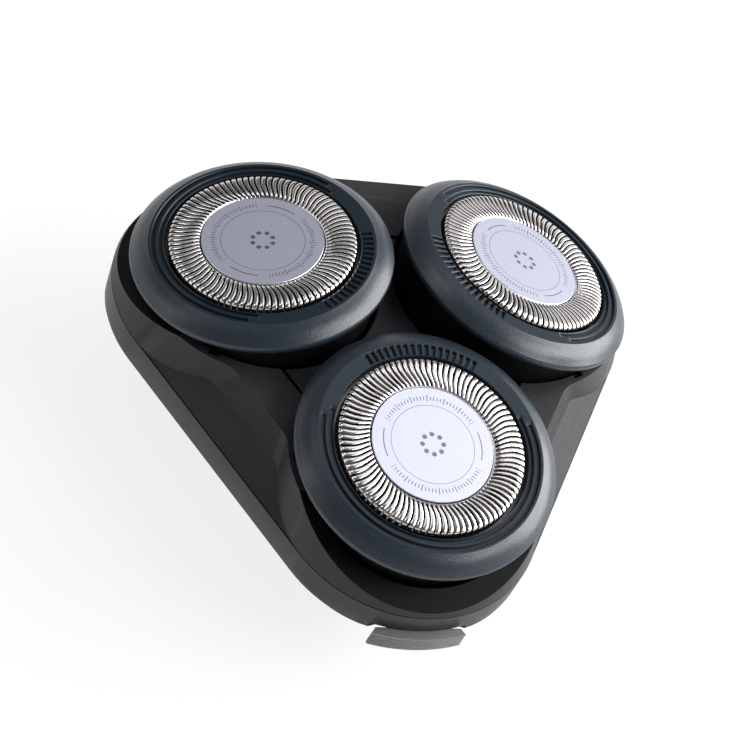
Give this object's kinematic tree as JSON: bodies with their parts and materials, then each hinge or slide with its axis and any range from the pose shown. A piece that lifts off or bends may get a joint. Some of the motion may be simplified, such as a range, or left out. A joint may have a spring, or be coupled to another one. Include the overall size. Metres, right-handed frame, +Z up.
{
  "type": "rotary shaver head",
  "caption": "Hinged rotary shaver head with tilting slotted guard caps, geared cutters and a neck that plugs onto a handle.",
  "frame": {"origin": "on the drive axis, at the lower rim of the neck that fits the handle", "axes": "+Z up along the drive axis towards the caps; -Y to the front, where the release button is; +X to the right seen from the front"},
  "size_m": [0.0678, 0.0653, 0.0301],
  "materials": {
    "shell_black": "fine matte",
    "holder_black": "fine matte",
    "island_black": "grained",
    "bezel_slate": "satin, finely grained",
    "collar_black": "smooth",
    "cap_steel": "polished",
    "disc_plate": "satin",
    "cutter_steel": "ground",
    "hub_plastic": "smooth",
    "retainer_plastic": "smooth",
    "gear_plastic": "smooth",
    "spindle_plastic": "smooth",
    "spring_steel": "bright",
    "screw_steel": "plated",
    "button_grey": "satin"
  },
  "bodies": {
    "base": {"hair_chamber": "shell_black", "gear_cover": "shell_black", "cover_screws": "screw_steel", "hinge_pin": "screw_steel", "button_spring": "spring_steel"},
    "drive": {"drive_gear": "gear_plastic"},
    "holder": {"head_holder": "holder_black", "centre_island": "island_black"},
    "button": {"release_button": "button_grey"},
    "spindle_gear_a": {"spindle_gear_a": "gear_plastic", "spindle_spring_a": "spring_steel"},
    "spindle_a": {"spindle_a": "spindle_plastic"},
    "head_a": {"bezel_a": "bezel_slate", "collar_a": "collar_black", "guard_cap_a": "cap_steel", "cap_disc_a": "disc_plate", "cutter_retainer_a": "retainer_plastic"},
    "cutter_a": {"cutter_a": "cutter_steel", "cutter_hub_a": "hub_plastic"},
    "spindle_gear_b": {"spindle_gear_b": "gear_plastic", "spindle_spring_b": "spring_steel"},
    "spindle_b": {"spindle_b": "spindle_plastic"},
    "head_b": {"bezel_b": "bezel_slate", "collar_b": "collar_black", "guard_cap_b": "cap_steel", "cap_disc_b": "disc_plate", "cutter_retainer_b": "retainer_plastic"},
    "cutter_b": {"cutter_b": "cutter_steel", "cutter_hub_b": "hub_plastic"},
    "spindle_gear_c": {"spindle_gear_c": "gear_plastic", "spindle_spring_c": "spring_steel"},
    "spindle_c": {"spindle_c": "spindle_plastic"},
    "head_c": {"bezel_c": "bezel_slate", "collar_c": "collar_black", "guard_cap_c": "cap_steel", "cap_disc_c": "disc_plate", "cutter_retainer_c": "retainer_plastic"},
    "cutter_c": {"cutter_c": "cutter_steel", "cutter_hub_c": "hub_plastic"}
  },
  "joints": [
    {"name": "drive_spin", "type": "hinge", "parent": "base", "child": "drive", "pos_m": [0, 0, 0.0074], "axis": [0, 0, 1], "continuous": true},
    {"name": "holder_open", "type": "hinge", "parent": "base", "child": "holder", "pos_m": [0, 0.02673, 0.0165], "axis": [-1, 0, 0], "range_deg": [0, 85]},
    {"name": "button_press", "type": "slide", "parent": "base", "child": "button", "axis": [0, 1, 0], "range_m": [0, 0.0008], "stiffness_N_per_m": 600, "springref_m": -0.0004, "deforming": ["button_spring"]},
    {"name": "head_tilt_a", "type": "hinge", "parent": "holder", "child": "head_a", "pos_m": [-0.01585, 0.00915, 0.021], "axis": [-0.5, -0.866, 0], "range_deg": [-8, 6]},
    {"name": "spindle_spin_a", "type": "hinge", "parent": "base", "child": "spindle_gear_a", "pos_m": [-0.01585, 0.00915, 0.01], "axis": [0, 0, 1], "continuous": true},
    {"name": "spindle_press_a", "type": "slide", "parent": "spindle_gear_a", "child": "spindle_a", "axis": [0, 0, -1], "range_m": [0, 0.0015], "stiffness_N_per_m": 300, "springref_m": -0.001, "deforming": ["spindle_spring_a"]},
    {"name": "cutter_spin_a", "type": "hinge", "parent": "head_a", "child": "cutter_a", "pos_m": [-0.01585, 0.00915, 0.021], "axis": [-0.2095, 0.121, 0.9703], "continuous": true},
    {"name": "head_tilt_b", "type": "hinge", "parent": "holder", "child": "head_b", "pos_m": [0.01585, 0.00915, 0.021], "axis": [-0.5, 0.866, 0], "range_deg": [-9, 5]},
    {"name": "spindle_spin_b", "type": "hinge", "parent": "base", "child": "spindle_gear_b", "pos_m": [0.01585, 0.00915, 0.01], "axis": [0, 0, 1], "continuous": true},
    {"name": "spindle_press_b", "type": "slide", "parent": "spindle_gear_b", "child": "spindle_b", "axis": [0, 0, -1], "range_m": [0, 0.0015], "stiffness_N_per_m": 300, "springref_m": -0.001, "deforming": ["spindle_spring_b"]},
    {"name": "cutter_spin_b", "type": "hinge", "parent": "head_b", "child": "cutter_b", "pos_m": [0.01585, 0.00915, 0.021], "axis": [0.2241, 0.1294, 0.9659], "continuous": true},
    {"name": "head_tilt_c", "type": "hinge", "parent": "holder", "child": "head_c", "pos_m": [0, -0.0183, 0.021], "axis": [1, 0, 0], "range_deg": [-0.6, 13.4]},
    {"name": "spindle_spin_c", "type": "hinge", "parent": "base", "child": "spindle_gear_c", "pos_m": [0, -0.0183, 0.01], "axis": [0, 0, 1], "continuous": true},
    {"name": "spindle_press_c", "type": "slide", "parent": "spindle_gear_c", "child": "spindle_c", "axis": [0, 0, -1], "range_m": [0, 0.0015], "stiffness_N_per_m": 300, "springref_m": -0.001, "deforming": ["spindle_spring_c"]},
    {"name": "cutter_spin_c", "type": "hinge", "parent": "head_c", "child": "cutter_c", "pos_m": [0, -0.0183, 0.021], "axis": [0, -0.1149, 0.9934], "continuous": true}
  ],
  "couplings": [
    {"joint": "spindle_spin_a", "follows": "drive_spin", "ratio": -1.3846},
    {"joint": "cutter_spin_a", "follows": "drive_spin", "ratio": -1.3846},
    {"joint": "spindle_spin_b", "follows": "drive_spin", "ratio": -1.3846},
    {"joint": "cutter_spin_b", "follows": "drive_spin", "ratio": -1.3846},
    {"joint": "spindle_spin_c", "follows": "drive_spin", "ratio": -1.3846},
    {"joint": "cutter_spin_c", "follows": "drive_spin", "ratio": -1.3846}
  ]
}
